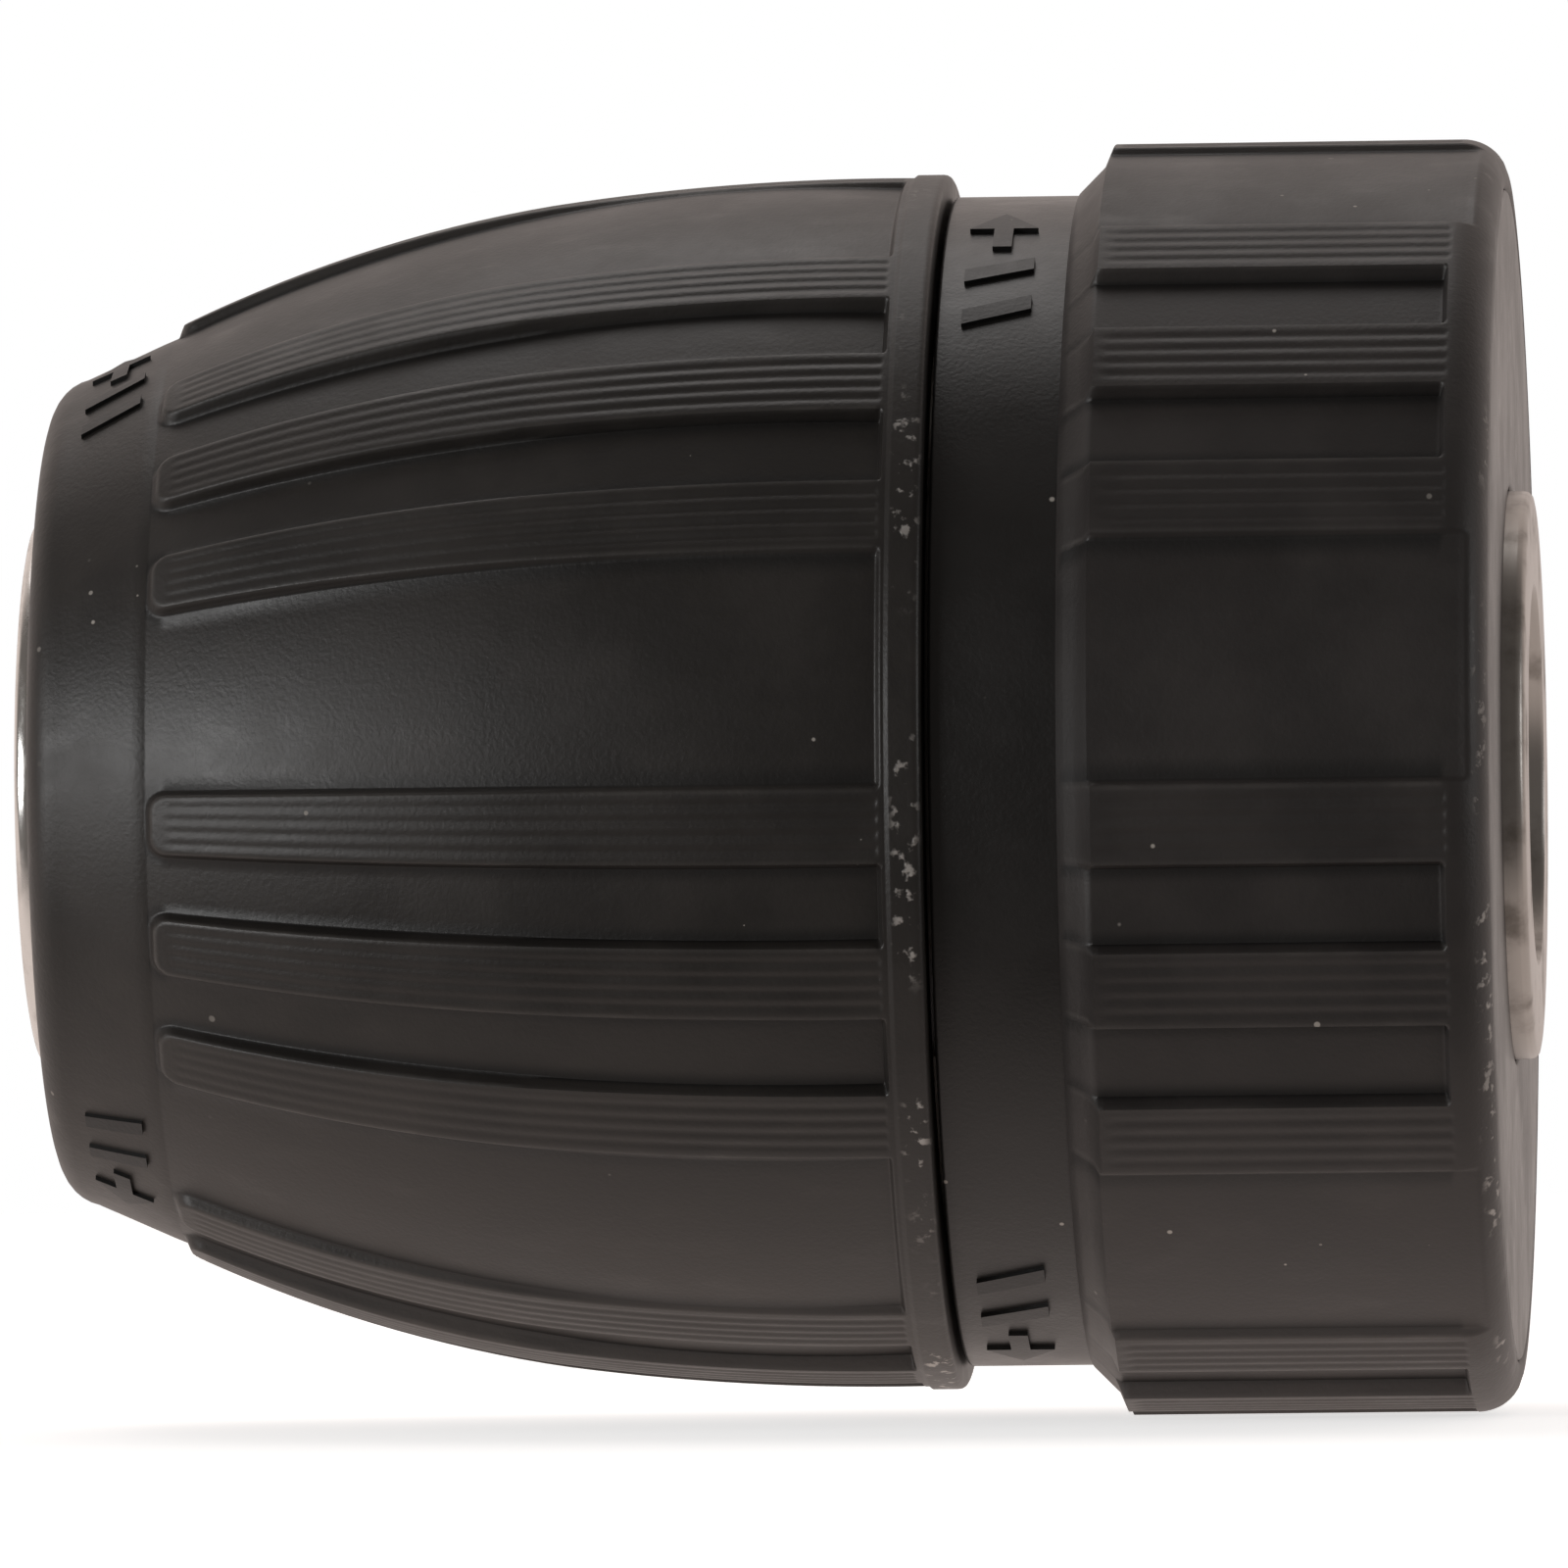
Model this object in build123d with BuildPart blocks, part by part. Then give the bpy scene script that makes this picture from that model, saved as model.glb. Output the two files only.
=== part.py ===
from build123d import *
import math
import os

# Two-sleeve keyless drill chuck, 10 mm capacity, 1/2-20 spindle thread.
# Frame: the chuck axis is X and the nose points to -X. The origin is the centre
# of the hub's rear face, and +Z is up. A station is a distance forward of the
# origin, so a feature at station s stands at x = -s. Lengths are in millimetres.

# Spindle socket
socket_radius = 5.73
socket_depth = 15.0
socket_mouth_radius = 6.45
socket_mouth_depth = 0.4
through_radius = 3.2

# Chuck body, from the hub forward
hub_radius = 9.6
drum_rear = 2.9
drum_radius = 17.2
drum_front = 15.4
waist_radius = 15.2
flange_rear = 23.4
flange_radius = 16.2
flange_front = 26.4
shoulder_radius = 14.6
shoulder_front = 30.3
neck_radius = 9.7
neck_front = 37.0
nose_radius = 12.0
nose_front = 47.0
boss_radius = 8.3
boss_front = 50.8
shank_bore_radius = 5.3
shank_bore_rear = 20.0
edge_break = 0.4

# Jaws, at rest fully open
jaw_count = 3
jaw_angle = 15.5
jaw_radius = 3.0
jaw_bore_radius = 3.05
jaw_apex = 65.1
jaw_rear = 16.3
jaw_tip = 45.3
jaw_opening_radius = 5.0
jaw_land_half_width = 0.4
jaw_flank_angle = 60.0
jaw_flank_reach = 12.0
jaw_bore_rear = 15.6

# Nut thread and the matching teeth on the jaws
thread_lead = 1.5875
ridge_root_width = 0.75
ridge_crest_width = 0.5
ridge_height = 0.9
ridge_bury = 0.2
nut_running_gap = 0.15
tooth_space_width = 1.1
tooth_space_floor = 0.86
tooth_space_depth = 1.02

# Nut, its band and the sleeve's steel insert
nut_rear = 30.6
nut_front = 36.6
nut_radius = 15.5
band_rear = 30.9
band_front = 36.4
band_radius = 16.6
insert_rear = 26.9
insert_step = 30.7
insert_front = 36.9
insert_bore_radius = 17.35
insert_radius = 17.7

# Thrust bearing
washer_front = 27.6
race_rear = 29.14
race_outer_radius = 17.0
race_bore_radius = 14.95
ball_radius = 0.75
ball_circle_radius = 15.95
ball_count = 36
cage_thickness = 0.9
cage_outer_radius = 16.9
cage_pocket_radius = 0.8

# Ratchet ring and lock spring
ratchet_rear = 23.6
ratchet_radius = 17.4
ratchet_tooth_count = 40
ratchet_tooth_depth = 0.5
ratchet_space_width = 0.7
spring_rear = 23.9
spring_front = 26.1
spring_bore_radius = 17.85
spring_arc = 240.0
pawl_bore_radius = 17.72
pawl_arc = 9.0

# Front sleeve
sleeve_rear = 19.55
sleeve_skirt_radius = 18.15
sleeve_skirt_front = 26.8
sleeve_seat_front = 37.0
sleeve_throat_radius = 15.6
sleeve_throat_front = 38.4
sleeve_nose_bore_radius = 12.4
sleeve_nose_bore_rear = 42.5
sleeve_lip_rear = 47.9
sleeve_lip_radius = 8.65
sleeve_recess_rear = 49.3
sleeve_recess_radius = 9.65
sleeve_front = 50.0
rim_radius = 20.55
rim_front = 20.8
rim_edge = 0.3
barrel_rear_radius = 20.45
barrel_back = 27.0
barrel_back_radius = 20.3
barrel_middle = 33.2
barrel_middle_radius = 19.66
barrel_crown = 39.8
barrel_crown_radius = 18.1
barrel_front = 45.8
barrel_front_radius = 15.75
nose_band_rear_radius = 15.35
nose_band_front = 48.9
nose_band_front_radius = 14.0
nose_corner_radius = 12.7
nose_round = 49.7
nose_round_radius = 13.5

# Nosepiece, its wire ring and the washer behind the sleeve's lip
nosepiece_rear = 49.45
nosepiece_radius = 9.3
wire_radius = 0.3
wire_station = 50.1
wire_groove_radius = 0.32
nose_washer_front = 47.75
nose_washer_radius = 11.6
nose_washer_bore_radius = 8.4

# Rear collar and its grip ring
collar_rear = 0.76
collar_bore_radius = 9.65
collar_radius = 19.8
collar_seat_front = 15.4
collar_skirt_bore_radius = 18.3
collar_front = 19.35
ring_radius = 21.5
ring_rear_radius = 20.2
ring_round_front = 2.2
ring_round_lean = 0.3
ring_shoulder_rear = 13.9
ring_ramp_rear = 14.2
ring_ramp_radius = 20.8
ring_front = 15.1

# Grip pattern, shared by the sleeve and the ring: six repeats, and in each one
# three raised strips stand beside two deep scoops and one wide shallow land.
# Each recess is (first angle, arc, depth, rear end on the sleeve and on the ring).
pattern_count = 6
scoop_depth = 0.55
land_depth = 0.25
cut_over = 1.0
recesses = (
    (-22.2, 22.8, land_depth, 20.95, 1.6),
    (8.1, 7.5, scoop_depth, 20.95, 2.3),
    (23.1, 7.5, scoop_depth, 20.95, 2.3),
)

os.makedirs("parts", exist_ok=True)

jaw_slope = math.tan(math.radians(jaw_angle))
jaw_reach = jaw_radius / math.cos(math.radians(jaw_angle))
jaw_directions = [-90 + 360 / jaw_count * index for index in range(jaw_count)]


def radial_plane(angle):
    """Plane through the chuck axis: its X is the axis, its Y points outwards.

    The angle turns about +X and is counted from -Y.
    """
    turn = math.radians(angle)
    return Plane(origin=(0, 0, 0), x_dir=(1, 0, 0), z_dir=(0, math.sin(turn), -math.cos(turn)))


def station_plane(station):
    """Plane square to the chuck axis at a station, facing the rear."""
    return Plane(origin=(-station, 0, 0), x_dir=(0, 1, 0), z_dir=(1, 0, 0))


def jaw_point(angle, station):
    """Point of a jaw's centre line at a station."""
    return radial_plane(angle).from_local_coords((-station, (jaw_apex - station) * jaw_slope, 0))


def jaw_plane(angle, station):
    """Plane square to a jaw's centre line at a station, facing the nose."""
    start = jaw_point(angle, station)
    return Plane(origin=start, z_dir=jaw_point(angle, jaw_apex) - start)


def jaw_back(station):
    """Radius of a jaw's outermost line at a station."""
    return (jaw_apex - station) * jaw_slope + jaw_reach


def save(part, name):
    """Label a finished piece and write its STEP file."""
    part.label = name
    export_step(part, f"parts/{name}.step")


# Chuck body
with BuildPart() as chuck_body:
    with BuildSketch(Plane.XZ):
        with BuildLine():
            Polyline(
                (0, socket_mouth_radius),
                (0, hub_radius - edge_break),
                (-edge_break, hub_radius),
                (-drum_rear, hub_radius),
                (-drum_rear, drum_radius - edge_break),
                (-drum_rear - edge_break, drum_radius),
                (-drum_front, drum_radius),
                (-drum_front, waist_radius),
                (-flange_rear, waist_radius),
                (-flange_rear, flange_radius),
                (-flange_front, flange_radius),
                (-flange_front, shoulder_radius),
                (-shoulder_front, shoulder_radius),
                (-shoulder_front, neck_radius),
                (-neck_front, neck_radius),
                (-neck_front, nose_radius),
                (-nose_front, nose_radius),
                (-nose_front, boss_radius),
                (-boss_front, boss_radius),
                (-boss_front, shank_bore_radius),
                (-shank_bore_rear, shank_bore_radius),
                (-shank_bore_rear, through_radius),
                (-socket_depth, through_radius),
                (-socket_depth, socket_radius),
                (-socket_mouth_depth, socket_radius),
                close=True,
            )
        make_face()
    revolve(axis=Axis.X)
    with BuildSketch(radial_plane(0)):
        with Locations((-wire_station, boss_radius)):
            Circle(wire_groove_radius)
    revolve(axis=Axis.X, mode=Mode.SUBTRACT)
    for direction in jaw_directions:
        with BuildSketch(jaw_plane(direction, jaw_bore_rear)):
            Circle(jaw_bore_radius)
        extrude(amount=boss_front, mode=Mode.SUBTRACT)
save(chuck_body.part, "chuck_body")

# Nut: a split ring with a tapered right-hand thread inside it
nut_length = nut_front - nut_rear
thread_turns_length = nut_length - 2 * ridge_root_width
thread_front_radius = jaw_back(nut_front - ridge_root_width) + nut_running_gap
thread_path = Helix(
    pitch=thread_lead,
    height=thread_turns_length,
    radius=thread_front_radius,
    center=(-nut_front + ridge_root_width, 0, 0),
    direction=(1, 0, 0),
    cone_angle=jaw_angle,
)
thread_start = thread_path @ 0
thread_start_angle = math.degrees(math.atan2(-thread_start.Z, -thread_start.Y))

with BuildPart() as nut:
    with BuildSketch(Plane.XZ):
        with BuildLine():
            Polyline(
                (-nut_rear, jaw_back(nut_rear) + nut_running_gap),
                (-nut_rear, nut_radius),
                (-nut_front, nut_radius),
                (-nut_front, jaw_back(nut_front) + nut_running_gap),
                close=True,
            )
        make_face()
    revolve(axis=Axis.X)
    with BuildSketch(radial_plane(thread_start_angle)):
        with BuildLine():
            Polyline(
                (thread_start.X - ridge_root_width / 2, thread_front_radius + ridge_bury),
                (thread_start.X + ridge_root_width / 2, thread_front_radius + ridge_bury),
                (thread_start.X + ridge_crest_width / 2, thread_front_radius - ridge_height),
                (thread_start.X - ridge_crest_width / 2, thread_front_radius - ridge_height),
                close=True,
            )
        make_face()
    sweep(path=thread_path, is_frenet=True)

with BuildPart() as nut_half_1:
    add(nut.part)
    split(bisect_by=Plane.XY, keep=Keep.TOP)
save(nut_half_1.part, "nut_half_1")

with BuildPart() as nut_half_2:
    add(nut.part)
    split(bisect_by=Plane.XY, keep=Keep.BOTTOM)
save(nut_half_2.part, "nut_half_2")

# Jaws: the tooth spaces of each one are stepped to suit the nut's thread
for index, direction in enumerate(jaw_directions):
    thread_phase = thread_start.X + thread_lead * (direction - thread_start_angle) / 360
    first_space = -neck_front + (thread_phase + neck_front) % thread_lead
    with BuildPart() as jaw:
        with BuildSketch(jaw_plane(direction, jaw_rear)):
            Circle(jaw_radius)
        extrude(amount=jaw_apex - jaw_rear)
        # The tip is square to the chuck axis
        with BuildSketch(station_plane(jaw_apex)):
            Circle(jaw_apex - jaw_tip)
        extrude(amount=jaw_apex - jaw_tip, mode=Mode.SUBTRACT)
        # Two gripping flanks meet at a narrow land that lies along the chuck axis
        flank_out = jaw_land_half_width + jaw_flank_reach * math.sin(math.radians(jaw_flank_angle))
        flank_up = jaw_opening_radius + jaw_flank_reach * math.cos(math.radians(jaw_flank_angle))
        across = radial_plane(direction)
        with BuildSketch(Plane(origin=(-jaw_apex, 0, 0), x_dir=-across.z_dir, z_dir=(1, 0, 0))):
            with BuildLine():
                Polyline(
                    (-jaw_land_half_width, jaw_opening_radius),
                    (jaw_land_half_width, jaw_opening_radius),
                    (flank_out, flank_up),
                    (flank_out, -flank_up),
                    (-flank_out, -flank_up),
                    (-flank_out, flank_up),
                    close=True,
                )
            make_face()
        extrude(amount=jaw_apex, mode=Mode.SUBTRACT)
        # Teeth along the back
        space_x = first_space
        with BuildSketch(across):
            while space_x < -jaw_rear + thread_lead:
                back = jaw_back(-space_x)
                with BuildLine():
                    Polyline(
                        (space_x - tooth_space_width / 2, back + jaw_slope),
                        (space_x + tooth_space_width / 2, back + jaw_slope),
                        (space_x + tooth_space_floor / 2, back - tooth_space_depth),
                        (space_x - tooth_space_floor / 2, back - tooth_space_depth),
                        close=True,
                    )
                make_face()
                space_x += thread_lead
        extrude(amount=jaw_radius, both=True, mode=Mode.SUBTRACT)
    save(jaw.part, f"jaw_{index + 1}")


# Nut band: presses the two halves together
with BuildPart() as nut_band:
    with BuildSketch(station_plane(band_front)):
        Circle(band_radius)
        Circle(nut_radius, mode=Mode.SUBTRACT)
    extrude(amount=band_front - band_rear)
save(nut_band.part, "nut_band")

# Steel insert: the sleeve's cup that drives the band and covers the bearing
with BuildPart() as sleeve_insert:
    with BuildSketch(Plane.XZ):
        with BuildLine():
            Polyline(
                (-insert_rear, insert_bore_radius),
                (-insert_rear, insert_radius),
                (-insert_front, insert_radius),
                (-insert_front, band_radius),
                (-insert_step, band_radius),
                (-insert_step, insert_bore_radius),
                close=True,
            )
        make_face()
    revolve(axis=Axis.X)
save(sleeve_insert.part, "sleeve_insert")

# Thrust bearing: a washer on the body, balls in a cage, a race on the nut
with BuildPart() as thrust_washer:
    with BuildSketch(station_plane(washer_front)):
        Circle(race_outer_radius)
        Circle(shoulder_radius, mode=Mode.SUBTRACT)
    extrude(amount=washer_front - flange_front)
save(thrust_washer.part, "thrust_washer")

with BuildPart() as nut_race:
    with BuildSketch(station_plane(nut_rear)):
        Circle(race_outer_radius)
        Circle(race_bore_radius, mode=Mode.SUBTRACT)
    extrude(amount=nut_rear - race_rear)
save(nut_race.part, "nut_race")

ball_station = (washer_front + race_rear) / 2
ball_plane = station_plane(ball_station)

with BuildPart() as bearing_balls:
    with Locations(ball_plane):
        with PolarLocations(ball_circle_radius, ball_count):
            Sphere(ball_radius)
save(bearing_balls.part, "bearing_balls")

with BuildPart() as bearing_cage:
    with BuildSketch(ball_plane):
        Circle(cage_outer_radius)
        Circle(race_bore_radius, mode=Mode.SUBTRACT)
        with PolarLocations(ball_circle_radius, ball_count):
            Circle(cage_pocket_radius, mode=Mode.SUBTRACT)
    extrude(amount=cage_thickness / 2, both=True)
save(bearing_cage.part, "bearing_cage")

# Ratchet ring on the body's flange, and the sleeve's spring with its pawl
with BuildPart() as ratchet_ring:
    with BuildSketch(station_plane(flange_front)):
        Circle(ratchet_radius)
        Circle(flange_radius, mode=Mode.SUBTRACT)
        with PolarLocations(ratchet_radius, ratchet_tooth_count):
            Rectangle(2 * ratchet_tooth_depth, ratchet_space_width, mode=Mode.SUBTRACT)
    extrude(amount=flange_front - ratchet_rear)
save(ratchet_ring.part, "ratchet_ring")

with BuildPart() as lock_spring:
    with BuildSketch(radial_plane(0)):
        with BuildLine():
            Polyline(
                (-spring_rear, spring_bore_radius),
                (-spring_rear, sleeve_skirt_radius),
                (-spring_front, sleeve_skirt_radius),
                (-spring_front, spring_bore_radius),
                close=True,
            )
        make_face()
    revolve(axis=Axis.X, revolution_arc=spring_arc)
    with BuildSketch(radial_plane(spring_arc - pawl_arc)):
        with BuildLine():
            Polyline(
                (-spring_rear, pawl_bore_radius),
                (-spring_rear, sleeve_skirt_radius),
                (-spring_front, sleeve_skirt_radius),
                (-spring_front, pawl_bore_radius),
                close=True,
            )
        make_face()
    revolve(axis=Axis.X, revolution_arc=pawl_arc)
save(lock_spring.part, "lock_spring")

# Front sleeve: rim, barrel-shaped grip and tapering nose band
with BuildPart() as front_sleeve:
    with BuildSketch(Plane.XZ):
        with BuildLine():
            Polyline(
                (-rim_front, barrel_rear_radius),
                (-rim_front, rim_radius),
                (-sleeve_rear - rim_edge, rim_radius),
                (-sleeve_rear, rim_radius - rim_edge),
                (-sleeve_rear, sleeve_skirt_radius),
                (-sleeve_skirt_front, sleeve_skirt_radius),
                (-sleeve_skirt_front, insert_radius),
                (-sleeve_seat_front, insert_radius),
                (-sleeve_seat_front, sleeve_throat_radius),
                (-sleeve_throat_front, sleeve_throat_radius),
                (-sleeve_nose_bore_rear, sleeve_nose_bore_radius),
                (-sleeve_lip_rear, sleeve_nose_bore_radius),
                (-sleeve_lip_rear, sleeve_lip_radius),
                (-sleeve_recess_rear, sleeve_lip_radius),
                (-sleeve_recess_rear, sleeve_recess_radius),
                (-sleeve_front, sleeve_recess_radius),
                (-sleeve_front, nose_corner_radius),
            )
            ThreePointArc(
                (-sleeve_front, nose_corner_radius),
                (-nose_round, nose_round_radius),
                (-nose_band_front, nose_band_front_radius),
            )
            Polyline(
                (-nose_band_front, nose_band_front_radius),
                (-barrel_front, nose_band_rear_radius),
                (-barrel_front, barrel_front_radius),
            )
            ThreePointArc(
                (-barrel_front, barrel_front_radius),
                (-barrel_crown, barrel_crown_radius),
                (-barrel_middle, barrel_middle_radius),
            )
            ThreePointArc(
                (-barrel_middle, barrel_middle_radius),
                (-barrel_back, barrel_back_radius),
                (-rim_front, barrel_rear_radius),
            )
        make_face()
    revolve(axis=Axis.X)
    for repeat in range(pattern_count):
        for first_angle, arc, depth, rear_end, _ in recesses:
            with BuildSketch(radial_plane(first_angle + 360 / pattern_count * repeat)):
                with BuildLine():
                    Polyline(
                        (-barrel_front, nose_band_rear_radius),
                        (-barrel_front, rim_radius + cut_over),
                        (-rear_end, rim_radius + cut_over),
                        (-rear_end, barrel_rear_radius - depth),
                    )
                    ThreePointArc(
                        (-rear_end, barrel_rear_radius - depth),
                        (-barrel_middle, barrel_middle_radius - depth),
                        (-barrel_front, nose_band_rear_radius),
                    )
                make_face()
            revolve(axis=Axis.X, revolution_arc=arc, mode=Mode.SUBTRACT)
save(front_sleeve.part, "front_sleeve")

# Nose washer, wire ring and nosepiece
with BuildPart() as nose_washer:
    with BuildSketch(station_plane(nose_washer_front)):
        Circle(nose_washer_radius)
        Circle(nose_washer_bore_radius, mode=Mode.SUBTRACT)
    extrude(amount=nose_washer_front - nose_front)
save(nose_washer.part, "nose_washer")

with BuildPart() as nose_wire:
    with BuildSketch(radial_plane(0)):
        with Locations((-wire_station, boss_radius)):
            Circle(wire_radius)
    revolve(axis=Axis.X)
save(nose_wire.part, "nose_wire")

with BuildPart() as nosepiece:
    with BuildSketch(Plane.XZ):
        with BuildLine():
            Polyline(
                (-nosepiece_rear, boss_radius),
                (-nosepiece_rear, nosepiece_radius),
                (-boss_front + edge_break, nosepiece_radius),
                (-boss_front, nosepiece_radius - edge_break),
                (-boss_front, boss_radius),
                close=True,
            )
        make_face()
    revolve(axis=Axis.X)
    with BuildSketch(radial_plane(0)):
        with Locations((-wire_station, boss_radius)):
            Circle(wire_groove_radius)
    revolve(axis=Axis.X, mode=Mode.SUBTRACT)
save(nosepiece.part, "nosepiece")

# Rear collar: a cup pressed on the body's drum
with BuildPart() as rear_collar:
    with BuildSketch(Plane.XZ):
        with BuildLine():
            Polyline(
                (-collar_rear, collar_bore_radius),
                (-collar_rear, collar_radius),
                (-collar_front + rim_edge, collar_radius),
                (-collar_front, collar_radius - rim_edge),
                (-collar_front, collar_skirt_bore_radius),
                (-collar_seat_front, collar_skirt_bore_radius),
                (-collar_seat_front, drum_radius),
                (-drum_rear, drum_radius),
                (-drum_rear, collar_bore_radius),
                close=True,
            )
        make_face()
    revolve(axis=Axis.X)
save(rear_collar.part, "rear_collar")

# Rear grip ring, pressed over the collar
with BuildPart() as rear_grip_ring:
    with BuildSketch(Plane.XZ):
        with BuildLine():
            Polyline(
                (-ring_round_front, ring_radius),
                (-ring_shoulder_rear, ring_radius),
                (-ring_ramp_rear, ring_ramp_radius),
                (-ring_front, collar_radius),
                (-collar_rear, collar_radius),
                (-collar_rear, ring_rear_radius),
            )
            TangentArc(
                (-collar_rear, ring_rear_radius),
                (-ring_round_front, ring_radius),
                tangent=(-ring_round_lean, 1),
            )
        make_face()
    revolve(axis=Axis.X)
    for repeat in range(pattern_count):
        for first_angle, arc, depth, _, rear_end in recesses:
            with BuildSketch(radial_plane(first_angle + 360 / pattern_count * repeat)):
                with BuildLine():
                    Polyline(
                        (-rear_end, ring_radius - depth),
                        (-rear_end, ring_radius + cut_over),
                        (-ring_front, ring_radius + cut_over),
                        (-ring_front, ring_radius - depth),
                        close=True,
                    )
                make_face()
            revolve(axis=Axis.X, revolution_arc=arc, mode=Mode.SUBTRACT)
save(rear_grip_ring.part, "rear_grip_ring")
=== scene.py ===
"""Visual model of a keyless drill chuck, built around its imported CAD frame.

The chuck axis is X, the nose points to -X and the spindle socket opens to +X.
Sizes are in millimetres. A station is a distance forward of the hub's rear
face, so a feature at station s stands at x = -s. Angles are in degrees, turn
about +X and are counted from -Y, the side that faces the camera.
"""

import logging
import math
from dataclasses import dataclass, field
from enum import Enum
from functools import lru_cache
from typing import Callable

import bmesh
import bpy
from mathutils import Matrix, Vector


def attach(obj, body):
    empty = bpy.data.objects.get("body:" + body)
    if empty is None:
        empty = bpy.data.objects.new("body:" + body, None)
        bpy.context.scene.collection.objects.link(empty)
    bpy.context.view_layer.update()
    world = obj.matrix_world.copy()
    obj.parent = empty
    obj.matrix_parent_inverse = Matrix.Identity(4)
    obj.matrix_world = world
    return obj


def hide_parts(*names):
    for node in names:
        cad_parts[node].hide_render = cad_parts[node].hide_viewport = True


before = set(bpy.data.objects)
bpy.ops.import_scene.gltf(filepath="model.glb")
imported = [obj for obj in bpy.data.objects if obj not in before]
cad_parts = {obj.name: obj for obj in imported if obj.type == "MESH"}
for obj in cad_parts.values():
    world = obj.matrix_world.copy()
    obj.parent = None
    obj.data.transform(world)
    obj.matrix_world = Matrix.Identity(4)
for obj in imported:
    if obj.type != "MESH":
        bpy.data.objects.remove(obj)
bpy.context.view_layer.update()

MM = 0.001
AXIS = (1.0, 0.0, 0.0)
CENTRE = (0.0, 0.0, 0.0)
WELD_DISTANCE = 0.0005
GRIP_CREASE = 50.0
EDGE_SHADE_HIGHLIGHT_AND_WEAR = "edge_shade_highlight_and_wear"
LOG = logging.getLogger("chuck")

Point = tuple[float, float]
Place = tuple[float, float, float]
Run = tuple[float, float, int]
Colour = tuple[float, float, float, float]
Mesh = bmesh.types.BMesh
Material = bpy.types.Material


class Body(Enum):
    """The bodies that the new pieces ride on."""

    CHUCK = "chuck"
    SLEEVE = "sleeve"


class Mark(Enum):
    """The plain signs moulded on the plastic."""

    ARROW_ON = "arrow_on"
    ARROW_BACK = "arrow_back"
    BAR = "bar"


# ---------------------------------------------------------------- shader maths


class Signal:
    """A number socket in a material, with Python's arithmetic."""

    def __init__(self, graph: "Graph", socket: bpy.types.NodeSocket) -> None:
        """Wraps a socket of a graph."""
        self.graph = graph
        self.socket = socket

    def maths(self, operation: str, *values: object) -> "Signal":
        """Adds a Math node.

        Args:
            operation: the Math node's operation.
            values: its inputs in order, as signals or numbers.

        Returns:
            The result as a signal.
        """
        node = self.graph.node("ShaderNodeMath", {"operation": operation}, dict(enumerate(values)))
        return Signal(self.graph, node.outputs[0])

    def __add__(self, other: object) -> "Signal":
        """self + other."""
        return self.maths("ADD", self, other)

    __radd__ = __add__

    def __sub__(self, other: object) -> "Signal":
        """self - other."""
        return self.maths("SUBTRACT", self, other)

    def __rsub__(self, other: object) -> "Signal":
        """other - self."""
        return self.maths("SUBTRACT", other, self)

    def __mul__(self, other: object) -> "Signal":
        """self * other."""
        return self.maths("MULTIPLY", self, other)

    __rmul__ = __mul__

    def __truediv__(self, other: object) -> "Signal":
        """self / other."""
        return self.maths("DIVIDE", self, other)

    def __pow__(self, other: object) -> "Signal":
        """self to the power of other."""
        return self.maths("POWER", self, other)

    def ramp(self, low: float, high: float) -> "Signal":
        """Rises smoothly from 0 at low to 1 at high, and falls if high is the lesser.

        Args:
            low: the value that gives 0.
            high: the value that gives 1.

        Returns:
            The eased signal, held within 0 and 1.
        """
        start, end = min(low, high), max(low, high)
        levels = {"To Min": float(low > high), "To Max": float(low <= high)}
        node = self.graph.node(
            "ShaderNodeMapRange",
            {"interpolation_type": "SMOOTHSTEP"},
            {"Value": self, "From Min": start, "From Max": end, **levels},
        )
        return Signal(self.graph, node.outputs[0])


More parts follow.
